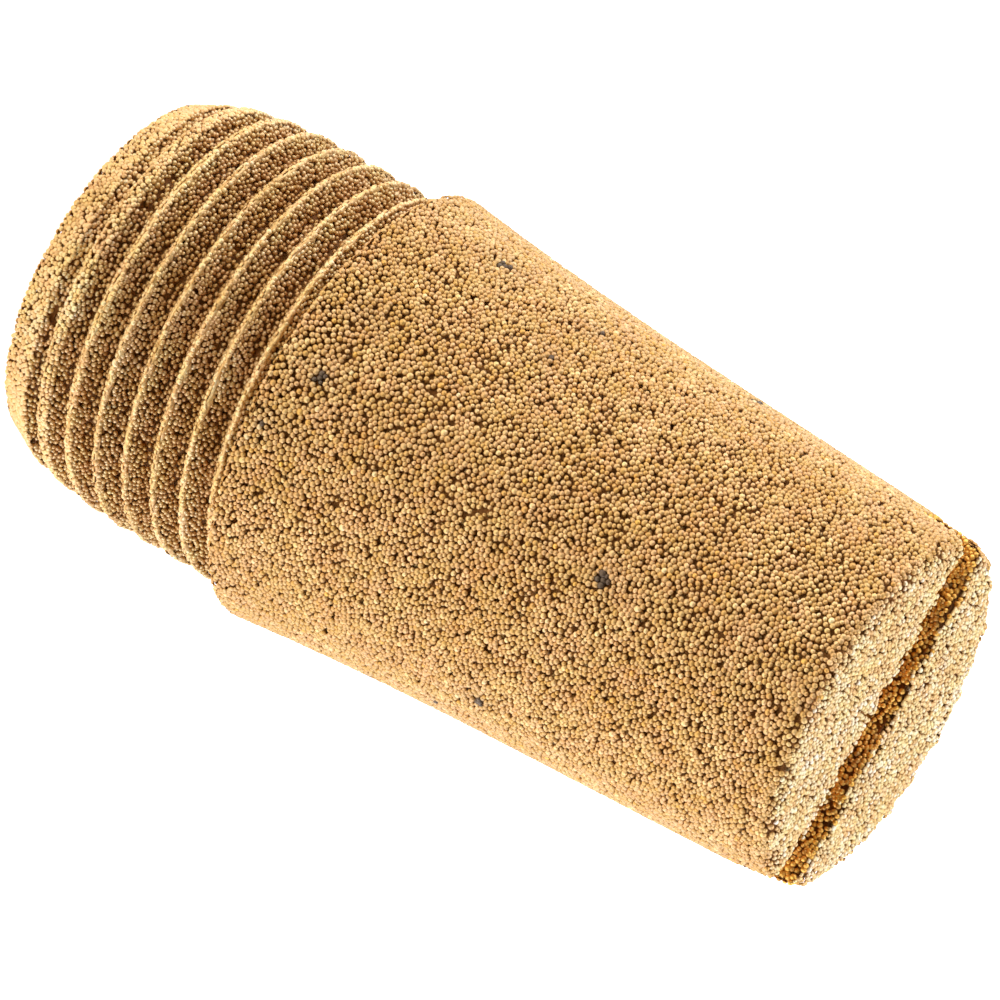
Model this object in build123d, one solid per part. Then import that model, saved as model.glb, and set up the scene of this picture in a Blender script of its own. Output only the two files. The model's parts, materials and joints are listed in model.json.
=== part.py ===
from build123d import *

import math
import os

# One-piece sintered bronze exhaust silencer, in millimetres.
# The frame: +Z runs along the axis from the threaded end to the slotted end, the origin is
# the centre of the threaded end face, and the driver slot runs along X.

# Overall lengths
THREAD_LENGTH = 10.95  # end face to shoulder
COLLAR_LENGTH = 0.10  # plain stretch of the shank against the shoulder, where the groove ends
BARREL_LENGTH = 24.35  # shoulder to slotted end face
TOTAL_LENGTH = THREAD_LENGTH + BARREL_LENGTH

# Male thread: G 3/8, Whitworth form, right-hand, single start
MAJOR_R = 16.662 / 2
PITCH = 1.337
FLANK_ANGLE = math.radians(27.5)  # between a flank and the plane square to the axis
SHARP_HEIGHT = PITCH / (2 * math.tan(FLANK_ANGLE))  # of the sharp triangle under the form
CREST_CUT = SHARP_HEIGHT / 6  # taken off the triangle at the crest
ROOT_RADIUS = 0.137329 * PITCH
CREST_PHASE = 0.60  # how far below the shoulder the last crest passes the -Y side
CUTTER_HALF_WIDTH = 0.46  # of the groove's cutter above the crests, as a share of the pitch

# Lead-in: the crests fall away along an arc, and then along a short cone
LEAD_IN_START = 5.6  # height where the parallel thread ends
LEAD_IN_RADIUS = 17.0
CONE_START = 1.44
END_FACE_R = 7.1

# Barrel: three stretches of slightly different draft, steepest by the shoulder
SHOULDER_R = 9.0
BENDS = [(0.20, 8.47), (0.55, 7.88)]  # share of the barrel's length from the shoulder, radius
BARREL_END_R = 7.25
SHOULDER_EDGE_R = 0.15
BARREL_EDGE_R = 0.50

# Driver slot across the closed end
SLOT_WIDTH = 2.0
SLOT_DEPTH = 2.0

# Blind air bore from the threaded end
BORE_R = 5.0
BORE_DEPTH = 30.0
BORE_FLOOR_FILLET = 1.0
BORE_MOUTH_CHAMFER = 0.4

CLEAR = 1.0  # how far cutting tools run past the stock


def lead_in_r(z):
    """Crest radius at a height on the lead-in arc."""
    drop = LEAD_IN_RADIUS - math.sqrt(LEAD_IN_RADIUS**2 - (LEAD_IN_START - z) ** 2)
    return MAJOR_R - drop


def crest_rod():
    """The threaded part of the shank as it would be with no groove cut in it."""
    middle = (LEAD_IN_START + CONE_START) / 2
    top = THREAD_LENGTH - COLLAR_LENGTH
    with BuildPart() as rod:
        with BuildSketch(Plane.XZ):
            with BuildLine():
                Polyline((0, 0), (END_FACE_R, 0), (lead_in_r(CONE_START), CONE_START))
                ThreePointArc(
                    (lead_in_r(CONE_START), CONE_START),
                    (lead_in_r(middle), middle),
                    (MAJOR_R, LEAD_IN_START),
                )
                Polyline((MAJOR_R, LEAD_IN_START), (MAJOR_R, top), (0, top), (0, 0))
            make_face()
        revolve(axis=Axis.Z)
    return rod.part


def groove_turn():
    """A cutter for one turn of the groove: a V with a rounded root, swept along the helix."""
    apex_r = MAJOR_R + CREST_CUT - SHARP_HEIGHT
    root_centre = apex_r + ROOT_RADIUS / math.sin(FLANK_ANGLE)
    touch_r = root_centre - ROOT_RADIUS * math.sin(FLANK_ANGLE)
    touch_half = ROOT_RADIUS * math.cos(FLANK_ANGLE)
    # Above the crests the cutter stops widening, so that one turn stays clear of the next.
    mouth_half = CUTTER_HALF_WIDTH * PITCH
    mouth_r = apex_r + mouth_half / math.tan(FLANK_ANGLE)
    outer_r = MAJOR_R + CLEAR
    with BuildPart() as cutter:
        with BuildSketch(Plane.XZ):
            with BuildLine():
                ThreePointArc((touch_r, -touch_half), (root_centre - ROOT_RADIUS, 0), (touch_r, touch_half))
                Polyline(
                    (touch_r, touch_half),
                    (mouth_r, mouth_half),
                    (outer_r, mouth_half),
                    (outer_r, -mouth_half),
                    (mouth_r, -mouth_half),
                    (touch_r, -touch_half),
                )
            make_face()
        sweep(path=Helix(PITCH, PITCH, apex_r), is_frenet=True)
    # The helix leaves the +X side, and the crests' heights are counted on the -Y side.
    return Rot(0, 0, -90) * cutter.part


def threaded_shank():
    """The rod with its groove, cut turn by turn from below the end face up to the collar."""
    shank = crest_rod()
    cutter = groove_turn()
    top_turn = THREAD_LENGTH - CREST_PHASE + PITCH / 2
    turns_below = math.ceil((top_turn + PITCH) / PITCH)
    for turn in range(turns_below + 1):
        shank = shank - Pos(0, 0, top_turn + (turn - turns_below) * PITCH) * cutter
    return shank


def barrel():
    """The drafted outside of the porous wall, closed at the top."""
    side = [(SHOULDER_R, THREAD_LENGTH)]
    side += [(radius, THREAD_LENGTH + share * BARREL_LENGTH) for share, radius in BENDS]
    side += [(BARREL_END_R, TOTAL_LENGTH)]
    with BuildPart() as outside:
        with BuildSketch(Plane.XZ):
            with BuildLine():
                Line((0, THREAD_LENGTH), side[0])
                Spline(*side)
                Polyline(side[-1], (0, TOTAL_LENGTH), (0, THREAD_LENGTH))
            make_face()
        revolve(axis=Axis.Z)
        rims = outside.edges().filter_by(GeomType.CIRCLE).sort_by(Axis.Z)
        fillet(rims[-1], BARREL_EDGE_R)
        fillet(rims[0], SHOULDER_EDGE_R)
    return outside.part


def collar():
    """The plain ring of the shank against the shoulder."""
    return Pos(0, 0, THREAD_LENGTH - COLLAR_LENGTH / 2) * Cylinder(MAJOR_R, COLLAR_LENGTH)


def bore():
    """The blind air passage, with a rounded floor and a broken mouth edge."""
    with BuildPart() as hole:
        with Locations((0, 0, BORE_DEPTH / 2 - CLEAR / 2)):
            Cylinder(BORE_R, BORE_DEPTH + CLEAR)
        fillet(hole.edges().sort_by(Axis.Z)[-1], BORE_FLOOR_FILLET)
        with Locations((0, 0, BORE_MOUTH_CHAMFER / 2)):
            Cone(BORE_R + BORE_MOUTH_CHAMFER, BORE_R, BORE_MOUTH_CHAMFER)
    return hole.part


def driver_slot():
    """A straight slot right across the closed end."""
    length = 2 * (BARREL_END_R + CLEAR)
    return Pos(0, 0, TOTAL_LENGTH + CLEAR / 2 - SLOT_DEPTH / 2) * Box(
        length, SLOT_WIDTH, SLOT_DEPTH + CLEAR
    )


def sintered_body():
    """The whole silencer, which is pressed and sintered in one piece."""
    return threaded_shank() + collar() + barrel() - driver_slot() - bore()


os.makedirs("parts", exist_ok=True)
export_step(sintered_body(), "parts/sintered_body.step")
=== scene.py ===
import json
import math

import bmesh
import bpy
import numpy as np
from mathutils import Matrix, Vector, noise
from mathutils.bvhtree import BVHTree


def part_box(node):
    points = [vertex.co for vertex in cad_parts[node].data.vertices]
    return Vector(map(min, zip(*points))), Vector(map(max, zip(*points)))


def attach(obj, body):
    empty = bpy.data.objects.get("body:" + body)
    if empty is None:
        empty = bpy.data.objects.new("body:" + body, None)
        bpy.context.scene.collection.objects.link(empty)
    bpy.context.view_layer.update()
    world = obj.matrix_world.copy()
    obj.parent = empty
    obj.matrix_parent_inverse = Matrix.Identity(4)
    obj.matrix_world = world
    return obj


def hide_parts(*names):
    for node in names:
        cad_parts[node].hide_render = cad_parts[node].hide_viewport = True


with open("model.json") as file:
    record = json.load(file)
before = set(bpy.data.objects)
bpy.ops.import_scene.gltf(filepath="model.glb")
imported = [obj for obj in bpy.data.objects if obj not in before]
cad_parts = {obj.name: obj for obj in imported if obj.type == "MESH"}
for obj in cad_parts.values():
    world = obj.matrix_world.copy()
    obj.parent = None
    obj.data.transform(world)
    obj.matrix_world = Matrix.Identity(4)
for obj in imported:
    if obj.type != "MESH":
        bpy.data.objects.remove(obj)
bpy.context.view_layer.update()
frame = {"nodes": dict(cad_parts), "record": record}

# The silencer is one body of fused bronze balls. The balls are laid out here one by one, in
# millimetres, so that they touch the CAD surface from inside, over a brown inner skin.
MM = 0.001  # one millimetre in metres
NODE = "sintered_body"
RECORD = frame["record"]
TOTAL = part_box(NODE)[1].z / MM
THREAD_LENGTH = {m["name"]: m for m in RECORD["mounts"]}["male_thread"]["dims"]["length_mm"]
SLOT_HALF = 1.0  # half the slot's width, across Y
SLOT_DEPTH = 2.0
BORE_R = 5.0
BORE_FLOOR = 30.0

# Pieces that the barrel, the thread and the bore are each cut into along their height
BARREL_BANDS = 6
THREAD_BANDS = 4
BORE_BANDS = 4

# Lengths and areas below these count as nothing
TINY_LENGTH = 1e-6
TINY_AREA = 1e-12
ON_SURFACE = 1e-4

# Limits that say which piece a ball belongs to. Facing is the Z part of its outward direction.
SHOULDER_FACING, INLET_FACING, END_FACING = -0.8, -0.7, 0.6
SHOULDER_REACH = 0.2  # above and below the shoulder
SHOULDER_INNER = 0.3  # inside the thread's major radius
SHANK_MARGIN = 0.05  # the thread's pieces stop this far below the shoulder
INLET_REACH = 0.2  # above the threaded end
END_REACH = 0.6  # below the slotted end
SLOT_SIDE = 0.15  # beyond the slot's walls
SLOT_BELOW = 0.2  # beyond its floor
SLOT_TOP = 0.1  # and it stops this far below the slotted end
BORE_REACH = 0.5  # beyond the bore's wall and floor
BORE_START = 0.15  # above the threaded end

# Bronze powder
BALL_R = 0.122  # middle radius
BALL_SPREAD = 0.13  # of the radius, as a share of it
BALL_LEAST, BALL_MOST = 0.72, 1.3  # limits, as shares of the middle radius
TRIES_PER_MM2 = 150  # random places from which the well-spaced ones are chosen
FIRST_GAP = 0.162  # least distance between two of them
CROWDED = 0.62  # a ball nearer than this share of its own width to another is dropped
NECK = 0.76  # neighbours settle this share of their radii apart, which is the sintered neck
PUSH = 0.45  # share of an overlap that each of two balls gives way in one step
SETTLING_STEPS = 9
FILLING_STEP = 3  # when balls are added to the gaps that are left
FILL_GAP = 0.147  # least distance from such a ball to another
FILL_SIZE = 0.9  # of such a ball, as a share of the others'
STEPS_PER_LOOK = 3  # steps between two searches for neighbours and for the surface
PRESSED_TOP = 0.85  # height at which the mould's wall flattens a ball, as a share of its radius
PRESSED_UNEVEN = 0.35  # most that such a ball sits below the surface, as a share of its radius
LOOSE_UNEVEN = 0.75  # the same in the thread's grooves and the bore
LOOSE_SIZE = 0.95  # as a share of the pressed balls'
SECOND_GAP = 0.24  # least distance between two balls of the layer below
SECOND_DEPTH = (0.22, 0.34)  # how deep their centres lie
SECOND_WORN = 0.35  # such balls are left out where the edges are more uneven than this share
SECOND_SKIP = 3  # one random place in this many is enough for that layer
BALL_STRETCH = 0.08  # spread of each ball's three widths, as a share of them
OUTER_CAP = 8, (40, 88)  # sides of a ball, and the tilts of its rings in degrees
BORE_CAP = 6, (48, 88)
STEEP = 0.9  # Z part of a direction from which X and not Z helps to turn a ball that way
CELL_FILL = 0.46  # half the part of its texture cell that a ball takes up

# Inner skin
SKIN_DEPTH = 0.36
SKIN_CORNER = 1.4  # most that a corner's depth is stretched to keep the faces' own depth
SKIN_SHARE = 0.45  # of the metal's thickness, and no deeper
RAY_START = 0.01  # a ray that measures the thickness starts this far in
SOLID = 9  # thickness taken where the ray meets nothing

# Rim and slot lips, which are uneven. The numbers per millimetre say how quickly that changes.
RIM_R = 7.1  # radius of the rim's edge
WORN_WIDTH = 0.62  # how far from an edge the movement falls to about a third
WORN_LEAST = 0.05  # share of the movement below which a ball is left alone
SWAY_PER_MM, SWAY = 1.6, 0.21  # movement every way
CHIP_PER_MM, CHIP = 1.0, 0.30  # downward
LIP_PER_MM, LIP_SWAY = 0.9, 0.45  # across the slot, at its lips
WORN_DROP = 0.05  # downward everywhere
CHIP_ORIGIN, LIP_ORIGIN = Vector((7, 0, 0)), Vector((0, 0, 9))  # so that the three noises differ

# Thread
MAJOR_R = 16.662 / 2
PITCH = 1.337
GROOVE_DEPTH = 0.75
GROOVE_MARGIN = 0.3  # a ball deeper than the groove by more than this isn't in it
LEAD_IN_END = 1.6
CREST_PHASE = 0.60  # a crest meets the -Y side this far below the shoulder
CREST_TOP = 0.10  # the crest starts this far below the shoulder
CREST_STEP = 0.07  # distance between two sections along the crest
OUTSIDE_R = 12  # rays that look for the crest start here
# The crest's section, as places across it and depths, at a width of 1
CREST_SECTION = ((-0.14, 0.12), (-0.09, 0.02), (-0.03, 0), (0.03, 0), (0.09, 0.02), (0.14, 0.12))
CREST_WIDTH = 0.78
CREST_LOW, CREST_LOW_SUNK = 0.55, 0.22  # this far below the major radius it is sunk by this much
CREST_HIGH, CREST_HIGH_SUNK = 0.2, 0.03  # and from this far below it upward by only this much
# Unevenness along the crest: how many sections one change takes, and its size
DENTS, WAVES, SIDEWAYS, WIDENING, FRAYED = (3, 0.025), (40, 0.02), (5, 0.022), (3, 0.15), (2, 0.012)
CREST_MOTTLE = (6, 0.10)  # the same for its tint
CREST_TINT = 0.55
# Painted shade towards the crest's edges, at most this much
CREST_EDGE_SHADE = 0.45
STRIP_FILL = 0.4  # half the part of its texture strip that a turn of the crest takes up

# What the balls' colour depends on. A tint of 0 is deep gold and 1 is cream, and some of its additions below
# are painted light or painted shade; a light of 0 is painted shade, brown all over a ball, and a lower light
# browns more of it from its edge in.
TINT, TINT_SPREAD = 0.44, 0.09
END_PAINTED_LIGHT_TINT = 0.31  # painted light: added on the slotted end, whose balls are made paler to stand in for the light it catches
# Painted light: the slot's balls are turned a brighter, deeper gold, standing in for light reflected inside
# the slot.
SLOT_PAINTED_LIGHT_TINT = -0.42
# Painted light: added on the thread, whose balls are made paler and brighter to stand in for more light on
# it.
THREAD_PAINTED_LIGHT_TINT = 0.23
PALEST_GRAIN = 0.70  # of the balls away from the slotted end
ROOT_PAINTED_SHADE_TINT = -0.07  # painted shade: added at the root of the thread, turning its balls a darker gold
END_SHADE = 0.18  # painted shade taken from the light on the slotted end, which browns its balls' edges
SUNK_SHADE = 0.22  # painted shade for a ball that sits a whole radius low
SECOND_SHADE = 0.35  # painted shade in the layer below
ROOT_SHADE = 0.60  # painted shade at the root of the thread
ROOT_SHADE_CURVE = 1.5  # power of the depth in the groove that this follows
END_SHRINK = 0.06  # of the slotted end's balls, as a share of their radius
END_LEVEL, END_FADE = 0.75, 0.2  # an end's ball counts fully where it faces up by their sum
LOOSE_BELOW_CREST = 0.12  # balls deeper in the thread than this are loose

# Small dark stains on the barrel
SPECKS = 22
SPECK_R = (0.13, 0.30)  # the smallest and the largest
SPECK_STAIN = 0.88  # how far they turn a ball to the stain's own colour
HALO_R, HALO_STAIN = 0.8, 0.10  # the faint edge around each

# Bronze, by tint: bright deep gold (used by the slot's painted light), old gold, bronze, and up to cream
# (used by the slotted end's painted light)
TINT_COLOURS = (
    (0.0, (0.95, 0.55, 0.11)),
    (0.12, (0.72, 0.40, 0.085)),
    (0.25, (0.56, 0.31, 0.08)),
    (0.5, (0.60, 0.37, 0.14)),
    (0.63, (0.76, 0.50, 0.195)),
    (0.76, (0.77, 0.59, 0.28)),
    (1.0, (0.88, 0.81, 0.57)),
)
CLOUD_TINT = 0.35  # how much the larger and the finer noise change the tint
PATCH_HUES = ((0.35, (1.0, 1.02, 0.93)), (0.5, (1.0, 1.0, 1.0)), (0.65, (1.02, 0.98, 1.04)))
SHADED_BROWN = (0.36, 0.14, 0.012, 1)
SHADED_STOPS = ((0.0, (0.05, 0.05, 0.05)), (0.5, (1.0, 1.0, 1.0)))  # painted shade, by height on the ball: the low edge of each ball turns brown
STAIN_COLOUR = (0.06, 0.045, 0.035, 1)
# Painted shade: the inner skin's even brown is darker than the balls, standing in for the shade deep in the
# pores.
PORE_SHADE_BROWN = (0.38, 0.15, 0.025, 1)
# Noises, from broad to fine, as steps per metre
CLOUD_SCALE, PATCH_SCALE, PORE_SCALE, GRAIN_SCALE, FINE_SCALE = 350, 1100, 3000, 9000, 30000
CLOUD_DETAIL, PLAIN_DETAIL = 3, 2
BALL_METALLIC, PORE_METALLIC = 0.9, 0.5
BALL_ROUGHNESS, PORE_ROUGHNESS = (0.44, 0.62), (0.6, 0.8)
# Bumps, each with its strength and its height in metres
GRAIN_BUMP, FINE_BUMP, PORE_BUMP = (0.6, 0.00003), (0.25, 0.00001), (0.6, 0.00005)
MIX_SHARE, MIX_COLOUR, MIX_OTHER, MIX_RESULT = 0, 6, 7, 2  # the mix node's sockets for colours

SEED, NOISE_SEED = 38, 7

rng = np.random.default_rng(SEED)
noise.seed_set(NOISE_SEED)  # otherwise its vectors start from the clock


# ---------------------------------------------------------------- settling the balls

def cad_mesh():
    """The CAD node's vertices in millimetres and its triangles."""
    mesh = frame["nodes"][NODE].data
    points = np.empty(len(mesh.vertices) * 3)
    mesh.vertices.foreach_get("co", points)
    mesh.calc_loop_triangles()
    corners = np.empty(len(mesh.loop_triangles) * 3, np.int64)
    mesh.loop_triangles.foreach_get("vertices", corners)
    return points.reshape(-1, 3) / MM, corners.reshape(-1, 3)


def scatter(points, triangles, per_area, depth):
    """Random places spread evenly over the triangles, this far below them."""
    a, b, c = (points[triangles[:, k]] for k in range(3))
    normal = np.cross(b - a, c - a)
    area = np.linalg.norm(normal, axis=1) / 2
    normal /= np.maximum(2 * area, TINY_AREA)[:, None]
    a, b, c = (corner - normal * depth for corner in (a, b, c))
    count = int(area.sum() * per_area)
    chosen = rng.choice(len(area), count, p=area / area.sum())
    u, v = rng.random((2, count))
    over = u + v > 1
    u[over], v[over] = 1 - u[over], 1 - v[over]
    return a[chosen] + u[:, None] * (b - a)[chosen] + v[:, None] * (c - a)[chosen]


def neighbours(points, reach):
    """Pairs of points nearer than reach, found through a grid of cells that wide."""
    cell = np.floor(points / reach).astype(np.int64)
    cell -= cell.min(0) - 1
    width, depth = cell[:, 0].max() + 2, cell[:, 1].max() + 2
    key = cell[:, 0] + width * (cell[:, 1] + depth * cell[:, 2])
    order = np.argsort(key, kind="stable")
    ordered = key[order]
    found = []
    for dz in (-1, 0, 1):
        for dy in (-1, 0, 1):
            for dx in (-1, 0, 1):
                shift = dx + width * (dy + depth * dz)
                if shift < 0:
                    continue
                first = np.searchsorted(ordered, key + shift, "left")
                last = np.searchsorted(ordered, key + shift, "right")
                for k in range(int((last - first).max())):
                    i = np.nonzero(first + k < last)[0]
                    j = order[first[i] + k]
                    if shift == 0:
                        i, j = i[i < j], j[i < j]
                    near = ((points[i] - points[j]) ** 2).sum(1) < reach * reach
                    found.append(np.stack([i[near], j[near]]))
    return np.concatenate(found, axis=1)


def spaced(points, gap):
    """Marks randomly chosen points that are at least this far apart and leave no room for another."""
    i, j = neighbours(points, gap)
    rank = rng.permutation(len(points))
    open_still = np.ones(len(points), bool)
    kept = np.zeros(len(points), bool)
    while len(i):
        rival = np.full(len(points), len(points))
        np.minimum.at(rival, i, rank[j])
        np.minimum.at(rival, j, rank[i])
        won = open_still & (rank < rival)
        kept |= won
        open_still &= ~won
        open_still[j[won[i]]] = False
        open_still[i[won[j]]] = False
        both = open_still[i] & open_still[j]
        i, j = i[both], j[both]
    return kept | open_still


def apart_from(points, others, gap):
    """Marks the points that have none of the others nearer than gap."""
    i, j = neighbours(np.concatenate([points, others]), gap)
    free = np.ones(len(points), bool)
    free[i[(i < len(points)) & (j >= len(points))]] = False
    free[j[(j < len(points)) & (i >= len(points))]] = False
    return free


def lay_against(tree, points, depth):
    """Moves each centre to its own depth below the surface. Returns centres and outward directions."""
    found = np.array([(*hit[0], *hit[1]) for hit in map(tree.find_nearest, points.tolist())])
    place, normal = found[:, :3], found[:, 3:]
    inward = points - place
    length = np.linalg.norm(inward, axis=1)
    astray = ((inward * normal).sum(1) > 0) | (length < ON_SURFACE)
    inward[astray] = -normal[astray]
    inward /= np.linalg.norm(inward, axis=1)[:, None]
    return place + inward * depth[:, None], -inward


def spread_radii(count):
    """A radius for each of this many balls, around the middle one."""
    return BALL_R * np.clip(rng.normal(1, BALL_SPREAD, count), BALL_LEAST, BALL_MOST)


def settled_balls(tree, places):
    """Centres, radii and outward directions of a tight, disorderly layer of balls under the CAD surface."""
    centre = places[spaced(places, FIRST_GAP)]
    radius = spread_radii(len(centre))
    centre, outward = lay_against(tree, centre, radius)
    reach = 2 * BALL_R * BALL_MOST
    for step in range(SETTLING_STEPS):
        if step == FILLING_STEP:
            more = places[apart_from(places, centre, FILL_GAP)]
            more = more[spaced(more, FILL_GAP)]
            radius = np.concatenate([radius, spread_radii(len(more)) * FILL_SIZE])
            centre, outward = lay_against(tree, np.concatenate([centre, more]), radius)
        if step % STEPS_PER_LOOK == 0:
            i, j = neighbours(centre, reach)
        apart = centre[i] - centre[j]
        gap = np.maximum(np.linalg.norm(apart, axis=1), TINY_LENGTH)
        short = np.maximum((radius[i] + radius[j]) * NECK - gap, 0)
        push = apart / gap[:, None] * (PUSH * short)[:, None]
        move = np.empty_like(centre)
        for axis in range(3):
            move[:, axis] = np.bincount(i, push[:, axis], len(centre))
            move[:, axis] -= np.bincount(j, push[:, axis], len(centre))
        centre += move - outward * (move * outward).sum(1)[:, None]
        if step % STEPS_PER_LOOK == STEPS_PER_LOOK - 1:
            centre, outward = lay_against(tree, centre, radius)
    roomy = spaced(centre, 2 * BALL_R * CROWDED)
    return centre[roomy], radius[roomy], outward[roomy]


def second_layer(tree, places, first):
    """Balls that show through the gaps of the first layer: centres, radii and outward directions."""
    centre = places[spaced(places, SECOND_GAP)]
    radius = spread_radii(len(centre))
    centre, outward = lay_against(tree, centre, rng.uniform(*SECOND_DEPTH, len(centre)))
    free = apart_from(centre, first, 2 * BALL_R * CROWDED)
    free &= np.maximum(*wear(centre)) < SECOND_WORN
    return centre[free], radius[free], outward[free]


# ---------------------------------------------------------------- thread

def crest_line(tree):
    """Turn angle, height and radius along the thread's crest, from the shoulder down to the lead-in."""
    top = THREAD_LENGTH - CREST_TOP
    start = (top - THREAD_LENGTH + CREST_PHASE) / PITCH * 2 * math.pi - math.pi / 2
    steps = int((top - LEAD_IN_END) / PITCH * 2 * math.pi * MAJOR_R / CREST_STEP)
    turn = start - np.arange(steps) * CREST_STEP / MAJOR_R
    z = top - (start - turn) * PITCH / (2 * math.pi)
    out = np.stack([np.cos(turn), np.sin(turn), np.zeros(steps)], axis=1)
    reach = [
        OUTSIDE_R - tree.ray_cast(Vector((*(OUTSIDE_R * o[:2]), h)), Vector(-o))[3]
        for o, h in zip(out, z)
    ]
    return turn, z, np.array(reach)


def wander(count, stretch, amount):
    """Smooth random numbers along a line, changing over about this many steps."""
    knots = rng.normal(0, amount, count // stretch + 3)
    return np.interp(np.arange(count) / stretch, np.arange(len(knots)), knots)


def crest_mesh(crest):
    """The thread's crest, where the balls have closed up into a narrow, bumpy ridge."""
    turn, z, r = crest
    count = len(turn)
    sunk = np.interp(r, [MAJOR_R - CREST_LOW, MAJOR_R - CREST_HIGH], [CREST_LOW_SUNK, CREST_HIGH_SUNK])
    sunk += np.abs(wander(count, *DENTS)) + np.abs(wander(count, *WAVES))
    middle = z + wander(count, *SIDEWAYS)
    rows = []
    for across, depth in CREST_SECTION:
        width = CREST_WIDTH + wander(count, *WIDENING)
        height = middle + across * width
        edge = r - sunk - depth - np.abs(wander(count, *FRAYED))
        rows.append(np.stack([edge * np.cos(turn), edge * np.sin(turn), height], axis=1))
    points = np.stack(rows, axis=1).reshape(-1, 3) * MM
    wide = len(CREST_SECTION)
    faces = [
        (k * wide + n, k * wide + n + 1, (k + 1) * wide + n + 1, (k + 1) * wide + n)
        for k in range(count - 1)
        for n in range(wide - 1)
    ]
    mesh = bpy.data.meshes.new("thread_crest")
    mesh.from_pydata(points.tolist(), [], faces)
    mesh.shade_smooth()
    across = np.tile(np.linspace(-1, 1, wide), count)
    store(mesh, "tint", CREST_TINT + np.repeat(wander(count, *CREST_MOTTLE), wide))
    # Painted shade: the crest turns browner towards its edges.
    store(mesh, "height", 1 - CREST_EDGE_SHADE * across ** 2)
    along = (turn[0] - turn) / (2 * math.pi)
    turns = math.ceil(along[-1])
    places = np.stack([
        np.repeat(along % 1, wide),
        (np.repeat(np.floor(along), wide) + 0.5 + STRIP_FILL * across) / turns,
    ], axis=1)
    corners = np.empty(len(mesh.loops), np.int64)
    mesh.loops.foreach_get("vertex_index", corners)
    lay_out(mesh, places[corners])
    return mesh


# ---------------------------------------------------------------- what each ball needs

def regions(centre, outward):
    """Which stretch of the body each ball belongs to, as a name for each."""
    x, y, z = (centre + outward * BALL_R).T
    r = np.hypot(x, y)
    band = (z - THREAD_LENGTH) / (TOTAL - THREAD_LENGTH) * BARREL_BANDS
    name = np.array([f"barrel_band_{int(b) + 1}" for b in np.clip(band, 0, BARREL_BANDS - 1)], "<U20")
    shank = z < THREAD_LENGTH - SHANK_MARGIN
    turns = z / THREAD_LENGTH * THREAD_BANDS
    name[shank] = [f"thread_band_{int(t) + 1}" for t in np.clip(turns[shank], 0, THREAD_BANDS - 1)]
    facing = outward[:, 2]
    at_shoulder = (abs(z - THREAD_LENGTH) < SHOULDER_REACH) & (r > MAJOR_R - SHOULDER_INNER)
    name[at_shoulder & (facing < SHOULDER_FACING)] = "shoulder"
    name[(z < INLET_REACH) & (facing < INLET_FACING)] = "inlet_face"
    name[(z > TOTAL - END_REACH) & (facing > END_FACING)] = "slotted_end"
    in_slot = (abs(y) < SLOT_HALF + SLOT_SIDE) & (z > TOTAL - SLOT_DEPTH - SLOT_BELOW)
    name[in_slot & (z < TOTAL - SLOT_TOP)] = "driver_slot"
    inside = (r < BORE_R + BORE_REACH) & (z < BORE_FLOOR + BORE_REACH) & (z > BORE_START)
    rise = np.clip(z[inside] / BORE_FLOOR * BORE_BANDS, 0, BORE_BANDS - 1)
    name[inside] = [f"bore_band_{int(b) + 1}" for b in rise]
    return name


def groove_depth(centre, outward, crest):
    """How far below the thread's crests the outside of each ball lies, or 0 where there is no thread."""
    _, z, r = crest
    outside = centre + outward * BALL_R
    below = np.interp(outside[:, 2], z[::-1], r[::-1]) - np.hypot(outside[:, 0], outside[:, 1])
    threaded = (outside[:, 2] > LEAD_IN_END) & (outside[:, 2] < THREAD_LENGTH)
    threaded &= below < GROOVE_DEPTH + GROOVE_MARGIN
    return np.where(threaded, np.maximum(below, 0), 0)


def wear(centre):
    """How much of the unevenness each place takes part in: near the rim, and near the slot's lips."""
    x, y, z = centre.T
    r, drop = np.hypot(x, y), TOTAL - z
    to_rim = np.hypot(r - RIM_R, drop)
    to_lip = np.hypot(np.hypot(np.abs(y) - SLOT_HALF, drop), np.maximum(r - RIM_R, 0))
    return np.exp(-(to_rim / WORN_WIDTH) ** 2), np.exp(-(to_lip / WORN_WIDTH) ** 2)


def wear_down(centre):
    """Moves the balls near the rim and the slot's lips, which are uneven and chipped."""
    near_rim, near_lip = wear(centre)
    near = np.maximum(near_rim, near_lip)
    for n in np.nonzero(near > WORN_LEAST)[0]:
        place = Vector(centre[n])
        sway = noise.noise_vector(place * SWAY_PER_MM) * SWAY
        chip = max(noise.noise(place * CHIP_PER_MM + CHIP_ORIGIN), 0) * CHIP
        wave = noise.noise(place * LIP_PER_MM + LIP_ORIGIN) * LIP_SWAY
        centre[n] += np.array(sway) * near[n]
        centre[n, 1] += wave * near_lip[n]
        centre[n, 2] -= (WORN_DROP + chip) * near[n]


def stains(centre, name):
    """How dark a stain lies on each ball: specks of a few balls on the barrel, each with a faint edge."""
    stain = np.zeros(len(centre))
    barrel = np.nonzero(np.char.startswith(name, "barrel"))[0]
    for middle in centre[rng.choice(barrel, SPECKS, replace=False)]:
        away = np.linalg.norm(centre - middle, axis=1)
        halo = HALO_STAIN * np.exp(-(away / HALO_R) ** 2)
        stain = np.maximum(stain, np.where(away < rng.uniform(*SPECK_R), SPECK_STAIN, halo))
    return stain


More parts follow.
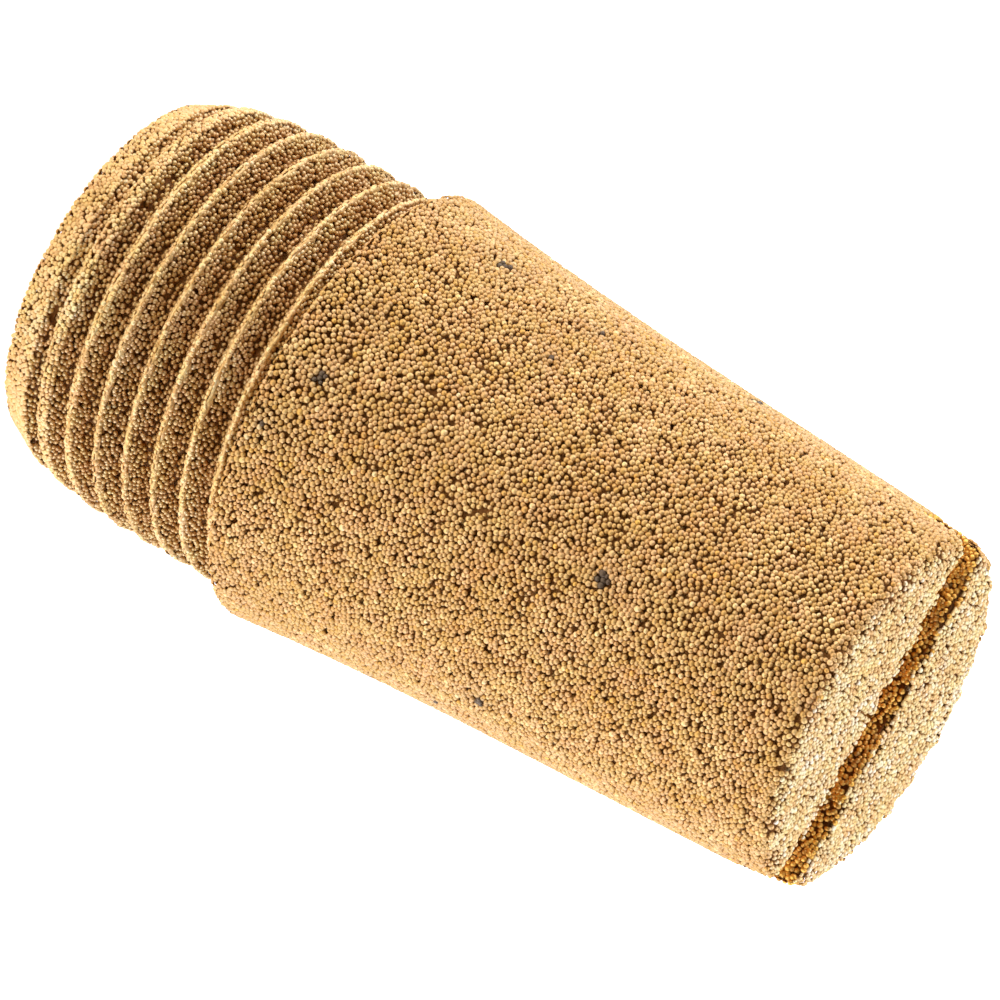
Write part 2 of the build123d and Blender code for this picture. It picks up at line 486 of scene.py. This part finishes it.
def make_balls(centre, radius, outward, crest, layer):
    """The balls of one layer, 0 for the outer and 1 for the one below, with what their look needs."""
    root = groove_depth(centre, outward, crest) / GROOVE_DEPTH
    name = regions(centre, outward)
    wear_down(centre)
    thread = np.char.startswith(name, "thread")
    slot = name == "driver_slot"
    end = (name == "slotted_end") * np.clip((outward[:, 2] - END_LEVEL) / END_FADE, 0, 1)
    loose = (root > LOOSE_BELOW_CREST / GROOVE_DEPTH) | slot | (layer > 0)
    loose |= np.char.startswith(name, "bore")
    sunk = rng.random(len(centre)) ** 2 * np.where(loose, LOOSE_UNEVEN, PRESSED_UNEVEN)
    radius = radius * np.where(loose, LOOSE_SIZE, 1) * (1 - END_SHRINK * end)
    # The tint is each ball's own random tone, with painted light added on the slotted end, in the slot and on
    # the thread, and painted shade at the thread's root.
    tint = rng.normal(TINT, TINT_SPREAD, len(centre))
    tint += END_PAINTED_LIGHT_TINT * end + SLOT_PAINTED_LIGHT_TINT * slot + THREAD_PAINTED_LIGHT_TINT * thread + ROOT_PAINTED_SHADE_TINT * root
    # Painted shade: each of these lowers a ball's light, which browns more of the ball from its edge in.
    shade = END_SHADE * end + SUNK_SHADE * sunk + SECOND_SHADE * layer
    shade += ROOT_SHADE * np.clip(root, 0, 1) ** ROOT_SHADE_CURVE
    return {
        "centre": centre - outward * (sunk * radius)[:, None],
        "radius": radius,
        "outward": outward,
        "top": np.where(loose, 1, PRESSED_TOP),
        "tint": np.clip(tint, 0, np.where(end > 0, 1, PALEST_GRAIN)),
        "light": np.clip(1 - shade, 0, 1),
        "name": name,
    }


# ---------------------------------------------------------------- meshes

def ball_cap(sides, rings):
    """The outer part of a unit ball, +Z up, with staggered rings at these tilts: points and triangles."""
    points = [(0, 0, 1)]
    faces = []
    for k, tilt in enumerate(rings):
        for n in range(sides):
            turn = 2 * math.pi * (n + k / 2) / sides
            lean = math.radians(tilt)
            points.append((math.sin(lean) * math.cos(turn), math.sin(lean) * math.sin(turn), math.cos(lean)))
    for n in range(sides):
        following = (n + 1) % sides
        faces.append((0, 1 + n, 1 + following))
        for k in range(len(rings) - 1):
            inner, outer = 1 + k * sides, 1 + (k + 1) * sides
            faces.append((inner + n, outer + n, inner + following))
            faces.append((inner + following, outer + n, outer + following))
    return np.array(points), np.array(faces)


def turned(outward):
    """A rotation for each ball that takes +Z to its outward direction, with a random spin about it."""
    helper = np.where(np.abs(outward[:, 2:3]) < STEEP, [[0.0, 0.0, 1.0]], [[1.0, 0.0, 0.0]])
    side = np.cross(helper, outward)
    side /= np.linalg.norm(side, axis=1)[:, None]
    other = np.cross(outward, side)
    spin = rng.random(len(outward)) * 2 * math.pi
    cos, sin = np.cos(spin)[:, None], np.sin(spin)[:, None]
    return np.stack([side * cos + other * sin, other * cos - side * sin, outward], axis=2)


def store(mesh, label, values):
    """Keeps a number for each point of the mesh, where the material reads it."""
    layer = mesh.attributes.new(label, "FLOAT", "POINT")
    layer.data.foreach_set("value", values.astype(np.float32))


def lay_out(mesh, places):
    """Gives each corner of the mesh its place on a texture, in a layer named OFBake."""
    layer = mesh.uv_layers.new(name="OFBake")
    layer.data.foreach_set("uv", places.reshape(-1).astype(np.float32))


def ball_mesh(name, balls, cap):
    """One mesh that holds a cap for every ball, with what the material reads stored on its points."""
    shape, faces = cap
    count = len(balls["centre"])
    local = np.repeat(shape[None], count, axis=0) * (1 + rng.normal(0, BALL_STRETCH, (count, 1, 3)))
    top = balls["top"][:, None]
    local[:, :, 2] = np.minimum(local[:, :, 2], top) + 1 - top
    placed = np.einsum("bij,bvj->bvi", turned(balls["outward"]), local) * balls["radius"][:, None, None]
    placed += balls["centre"][:, None]
    placed[:, :, 2] = np.clip(placed[:, :, 2], 0, TOTAL)
    placed *= MM
    corners = (faces[None] + (np.arange(count) * len(shape))[:, None, None]).reshape(-1)
    mesh = bpy.data.meshes.new(name)
    mesh.vertices.add(count * len(shape))
    mesh.vertices.foreach_set("co", placed.reshape(-1))
    mesh.loops.add(len(corners))
    mesh.loops.foreach_set("vertex_index", corners)
    mesh.polygons.add(len(corners) // 3)
    mesh.polygons.foreach_set("loop_start", np.arange(0, len(corners), 3))
    mesh.polygons.foreach_set("use_smooth", np.ones(len(corners) // 3, bool))
    store(mesh, "tint", np.repeat(balls["tint"], len(shape)))
    store(mesh, "stain", np.repeat(balls["stain"], len(shape)))
    # Painted shade: the low edge of each ball, and more of it where its light is lower, turns brown in the
    # material.
    store(mesh, "height", (balls["light"][:, None] * shape[None, :, 2]).reshape(-1))
    tilt = np.arccos(np.clip(shape[:, 2], -1, 1))
    flat = shape[:, :2] / np.maximum(np.linalg.norm(shape[:, :2], axis=1), TINY_LENGTH)[:, None]
    flat = flat * (tilt / tilt.max())[:, None] * CELL_FILL + 0.5
    side = math.ceil(math.sqrt(count))
    cell = np.stack([np.arange(count) % side, np.arange(count) // side], axis=1)
    places = (cell[:, None] + flat[None]).reshape(-1, 2) / side
    lay_out(mesh, places[corners])
    mesh.update()
    mesh.validate()
    return mesh


def add_piece(name, mesh, material):
    """Puts a mesh into the scene as a piece of the object."""
    piece = bpy.data.objects.new(name, mesh)
    bpy.context.scene.collection.objects.link(piece)
    mesh.materials.append(material)
    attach(piece, "root")
    return piece


def inner_skin(tree, points, triangles):
    """The shaded metal behind the balls: the CAD surface, drawn in as far as its thin parts allow."""
    mesh = bpy.data.meshes.new("inner_skin")
    mesh.from_pydata(points.tolist(), [], triangles.tolist())
    shell = bmesh.new()
    shell.from_mesh(mesh)
    bmesh.ops.remove_doubles(shell, verts=shell.verts, dist=ON_SURFACE)
    shell.normal_update()
    moves = []
    for vertex in shell.verts:
        inward = -vertex.normal
        thickness = tree.ray_cast(vertex.co + inward * RAY_START, inward)[3] or SOLID
        depth = SKIN_DEPTH * min(vertex.calc_shell_factor(), SKIN_CORNER)
        moves.append(inward * min(depth, thickness * SKIN_SHARE))
    for vertex, move in zip(shell.verts, moves):
        vertex.co = (vertex.co + move) * MM
    for face in shell.faces:
        face.smooth = True
    shell.to_mesh(mesh)
    shell.free()
    return mesh


# ---------------------------------------------------------------- materials

def nodes_of(name):
    """A new material with its node tree and its shader."""
    material = bpy.data.materials.new(name)
    material.use_nodes = True
    tree = material.node_tree
    return material, tree, tree.nodes["Principled BSDF"]


def put(tree, kind, inputs=None, **settings):
    """Adds a node, sets its own settings, and links or sets its inputs."""
    node = tree.nodes.new(kind)
    for key, value in settings.items():
        setattr(node, key, value)
    for key, value in (inputs or {}).items():
        if isinstance(value, bpy.types.NodeSocket):
            tree.links.new(value, node.inputs[key])
        else:
            node.inputs[key].default_value = value
    return node


def ramp(tree, factor, stops):
    """The colour that the factor picks from these stops. A new ramp comes with two of its own."""
    node = put(tree, "ShaderNodeValToRGB", {"Fac": factor})
    line = node.color_ramp
    for _ in stops[2:]:
        line.elements.new(0.5)
    for element, (place, colour) in zip(line.elements, stops):
        element.position = place
        element.color = (*colour, 1)
    return node.outputs["Color"]


def mottle(tree, where, scale, detail=PLAIN_DETAIL):
    """Noise of this scale per metre, as a number for each place."""
    return put(tree, "ShaderNodeTexNoise", {"Vector": where, "Scale": scale, "Detail": detail}).outputs["Fac"]


def blend(tree, share, colour, other, **settings):
    """One colour, turned into the other by this share."""
    inputs = {MIX_SHARE: share, MIX_COLOUR: colour, MIX_OTHER: other}
    return put(tree, "ShaderNodeMix", inputs, data_type="RGBA", **settings).outputs[MIX_RESULT]


def vary_roughness(tree, shader, grain, least, most):
    """Lets the roughness follow the noise between these two values."""
    limits = {"Value": grain, "To Min": least, "To Max": most}
    rough = put(tree, "ShaderNodeMapRange", limits).outputs[0]
    tree.links.new(rough, shader.inputs["Roughness"])


def bumps(tree, grain, strength, distance, **under):
    """The surface's direction over bumps of this strength and height, on top of others if given."""
    inputs = {"Height": grain, "Strength": strength, "Distance": distance, **under}
    return put(tree, "ShaderNodeBump", inputs).outputs["Normal"]


def bronze():
    """The balls' metal, which takes its colour from the numbers stored on each ball."""
    material, tree, shader = nodes_of("sintered_bronze_balls")
    tint = put(tree, "ShaderNodeAttribute", attribute_name="tint").outputs["Fac"]
    height = put(tree, "ShaderNodeAttribute", attribute_name="height").outputs["Fac"]
    where = put(tree, "ShaderNodeTexCoord").outputs["Object"]
    cloud = mottle(tree, where, CLOUD_SCALE, CLOUD_DETAIL)
    grain = mottle(tree, where, GRAIN_SCALE)
    both = put(tree, "ShaderNodeMath", {0: cloud, 1: grain}, operation="ADD").outputs[0]
    mixed = put(tree, "ShaderNodeMath", {0: both, 1: 1.0}, operation="SUBTRACT").outputs[0]
    terms = {0: mixed, 1: CLOUD_TINT, 2: tint}
    shade = put(tree, "ShaderNodeMath", terms, operation="MULTIPLY_ADD").outputs[0]
    colour = ramp(tree, shade, TINT_COLOURS)
    patches = mottle(tree, where, PATCH_SCALE)
    hue = ramp(tree, patches, PATCH_HUES)
    tinged = blend(tree, 1.0, colour, hue, blend_type="MULTIPLY")
    # Painted shade: the stored height browns each ball from its edge in.
    depth = ramp(tree, height, SHADED_STOPS)
    with_painted_shade = blend(tree, depth, SHADED_BROWN, tinged)
    stain = put(tree, "ShaderNodeAttribute", attribute_name="stain").outputs["Fac"]
    stained = blend(tree, stain, with_painted_shade, STAIN_COLOUR)
    tree.links.new(stained, shader.inputs["Base Color"])
    shader.inputs["Metallic"].default_value = BALL_METALLIC
    fine = mottle(tree, where, FINE_SCALE)
    vary_roughness(tree, shader, fine, *BALL_ROUGHNESS)
    lumps = bumps(tree, grain, *GRAIN_BUMP)
    tree.links.new(bumps(tree, fine, *FINE_BUMP, Normal=lumps), shader.inputs["Normal"])
    return material


def pore_metal():
    """The metal in the pores between the balls, with their shade painted in as a darker brown."""
    material, tree, shader = nodes_of("shaded_pore_metal")
    where = put(tree, "ShaderNodeTexCoord").outputs["Object"]
    cloud = mottle(tree, where, PORE_SCALE, CLOUD_DETAIL)
    vary_roughness(tree, shader, cloud, *PORE_ROUGHNESS)
    tree.links.new(bumps(tree, cloud, *PORE_BUMP), shader.inputs["Normal"])
    shader.inputs["Base Color"].default_value = PORE_SHADE_BROWN
    shader.inputs["Metallic"].default_value = PORE_METALLIC
    return material


def plain(name, colour, roughness, glow):
    """One even colour that also glows white by this much."""
    material, _, shader = nodes_of(name)
    shader.inputs["Base Color"].default_value = (*colour, 1)
    shader.inputs["Roughness"].default_value = roughness
    shader.inputs["Emission Color"].default_value = (1, 1, 1, 1)
    shader.inputs["Emission Strength"].default_value = glow
    return material


# ---------------------------------------------------------------- the object

surface_points, surface_triangles = cad_mesh()
surface = BVHTree.FromPolygons(surface_points.tolist(), surface_triangles.tolist())
places = scatter(surface_points, surface_triangles, TRIES_PER_MM2, BALL_R)
first = settled_balls(surface, places)
second = second_layer(surface, places[::SECOND_SKIP], first[0])
crest = crest_line(surface)
layers = [make_balls(*first, crest, 0), make_balls(*second, crest, 1)]
balls = {key: np.concatenate([layer[key] for layer in layers]) for key in layers[0]}
balls["stain"] = stains(balls["centre"], balls["name"])
metal = bronze()
outer_cap = ball_cap(*OUTER_CAP)
bore_cap = ball_cap(*BORE_CAP)
for region in sorted(set(balls["name"])):
    chosen = {key: values[balls["name"] == region] for key, values in balls.items()}
    cap = bore_cap if region.startswith("bore") else outer_cap
    add_piece(region, ball_mesh(region, chosen, cap), metal)
add_piece("thread_crest", crest_mesh(crest), metal)
skin = add_piece("inner_skin", inner_skin(surface, surface_points, surface_triangles), pore_metal())
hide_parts(NODE)

# ---------------------------------------------------------------- stage, lights and camera

# Lengths here are in metres, but for the gap in millimetres, and angles in degrees
FLOOR_GAP = 0.05  # between the floor and the object's lowest balls
FLOOR_SIZE = 4
FLOOR_COLOUR, FLOOR_ROUGHNESS, FLOOR_GLOW = (0.9, 0.9, 0.9), 0.9, 1.0
DIM_SIDE = (0.345, 0.32, 0.27)  # the room in front of the object, which is dimmer and warmer
BRIGHT_SIDE = (0.95, 0.95, 0.95)  # and behind it
SIDE_COLOUR = (0.90, 1.03, 1.65)
TOP_COLOUR = (0.92, 0.98, 1.22)
DIM_FROM, BRIGHT_FROM = -0.9, 0.6  # Y parts of the directions where the one ends and the other starts
SOFTBOX_DISTANCE = 0.5
SOFTBOXES = (  # name, azimuth, elevation, size, power and colour
    ("left_softbox", -85, 18, 0.34, 1.1, SIDE_COLOUR),
    ("right_softbox", 85, 18, 0.34, 1.1, SIDE_COLOUR),
    ("top_softbox", 180, 70, 0.4, 1.5, TOP_COLOUR),
)
CAMERA_AZIMUTH = -2.6
CAMERA_ELEVATION = 21.06
CAMERA_ROLL = 120.29
CAMERA_DISTANCE = 0.375
CAMERA_LENS, CAMERA_SENSOR = 363.7, 36
CAMERA_CLIP = 0.01, 20
AIM_HEIGHT = (THREAD_LENGTH + MAJOR_R) * MM  # place on the axis near which the camera aims
AIM_RIGHT, AIM_DOWN = -0.001165, -0.000425  # from that place, as seen in the picture

bpy.ops.mesh.primitive_plane_add(size=FLOOR_SIZE, location=(0, 0, -FLOOR_GAP * MM))
floor = bpy.context.object
floor.name = "floor"
floor.data.materials.append(plain("pale_floor", FLOOR_COLOUR, FLOOR_ROUGHNESS, FLOOR_GLOW))


def toward(azimuth, elevation):
    """The direction that leads from the object to a light or camera at these angles in degrees."""
    a, e = math.radians(azimuth), math.radians(elevation)
    return Vector((math.sin(a) * math.cos(e), -math.cos(a) * math.cos(e), math.sin(e)))


def area_light(name, azimuth, elevation, size, power, colour):
    """A round softbox that is aimed at the object's middle."""
    way = toward(azimuth, elevation)
    data = bpy.data.lights.new(name, "AREA")
    data.shape = "DISK"
    data.size = size
    data.energy = power
    data.color = colour
    light = bpy.data.objects.new(name, data)
    light.location = Vector((0, 0, TOTAL / 2 * MM)) + way * SOFTBOX_DISTANCE
    light.rotation_mode = "QUATERNION"
    light.rotation_quaternion = (-way).to_track_quat("-Z", "Y")
    bpy.context.scene.collection.objects.link(light)


for softbox in SOFTBOXES:
    area_light(*softbox)

world = bpy.data.worlds.new("studio")
world.use_nodes = True
sky = world.node_tree
way = put(sky, "ShaderNodeTexCoord").outputs["Generated"]
behind = put(sky, "ShaderNodeSeparateXYZ", {"Vector": way}).outputs["Y"]
limits = {"Value": behind, "From Min": DIM_FROM, "From Max": BRIGHT_FROM}
share = put(sky, "ShaderNodeMapRange", limits).outputs[0]
room = ramp(sky, share, ((0.0, DIM_SIDE), (1.0, BRIGHT_SIDE)))
sky.links.new(room, sky.nodes["Background"].inputs["Color"])
sky.nodes["Background"].inputs["Strength"].default_value = 1.0
bpy.context.scene.world = world
bpy.context.scene.view_settings.view_transform = "Standard"

back = toward(CAMERA_AZIMUTH, CAMERA_ELEVATION)
data = bpy.data.cameras.new("camera")
data.lens = CAMERA_LENS
data.sensor_width = CAMERA_SENSOR
data.clip_start, data.clip_end = CAMERA_CLIP
camera = bpy.data.objects.new("camera", data)
camera.rotation_mode = "QUATERNION"
level = (-back).to_track_quat("-Z", "Y")
turn = level @ Matrix.Rotation(math.radians(CAMERA_ROLL), 4, "Z").to_quaternion()
camera.rotation_quaternion = turn
right, up = turn @ Vector((1, 0, 0)), turn @ Vector((0, 1, 0))
aim = Vector((0, 0, AIM_HEIGHT)) + right * AIM_RIGHT - up * AIM_DOWN
camera.location = aim + back * CAMERA_DISTANCE
bpy.context.scene.collection.objects.link(camera)
bpy.context.scene.camera = camera
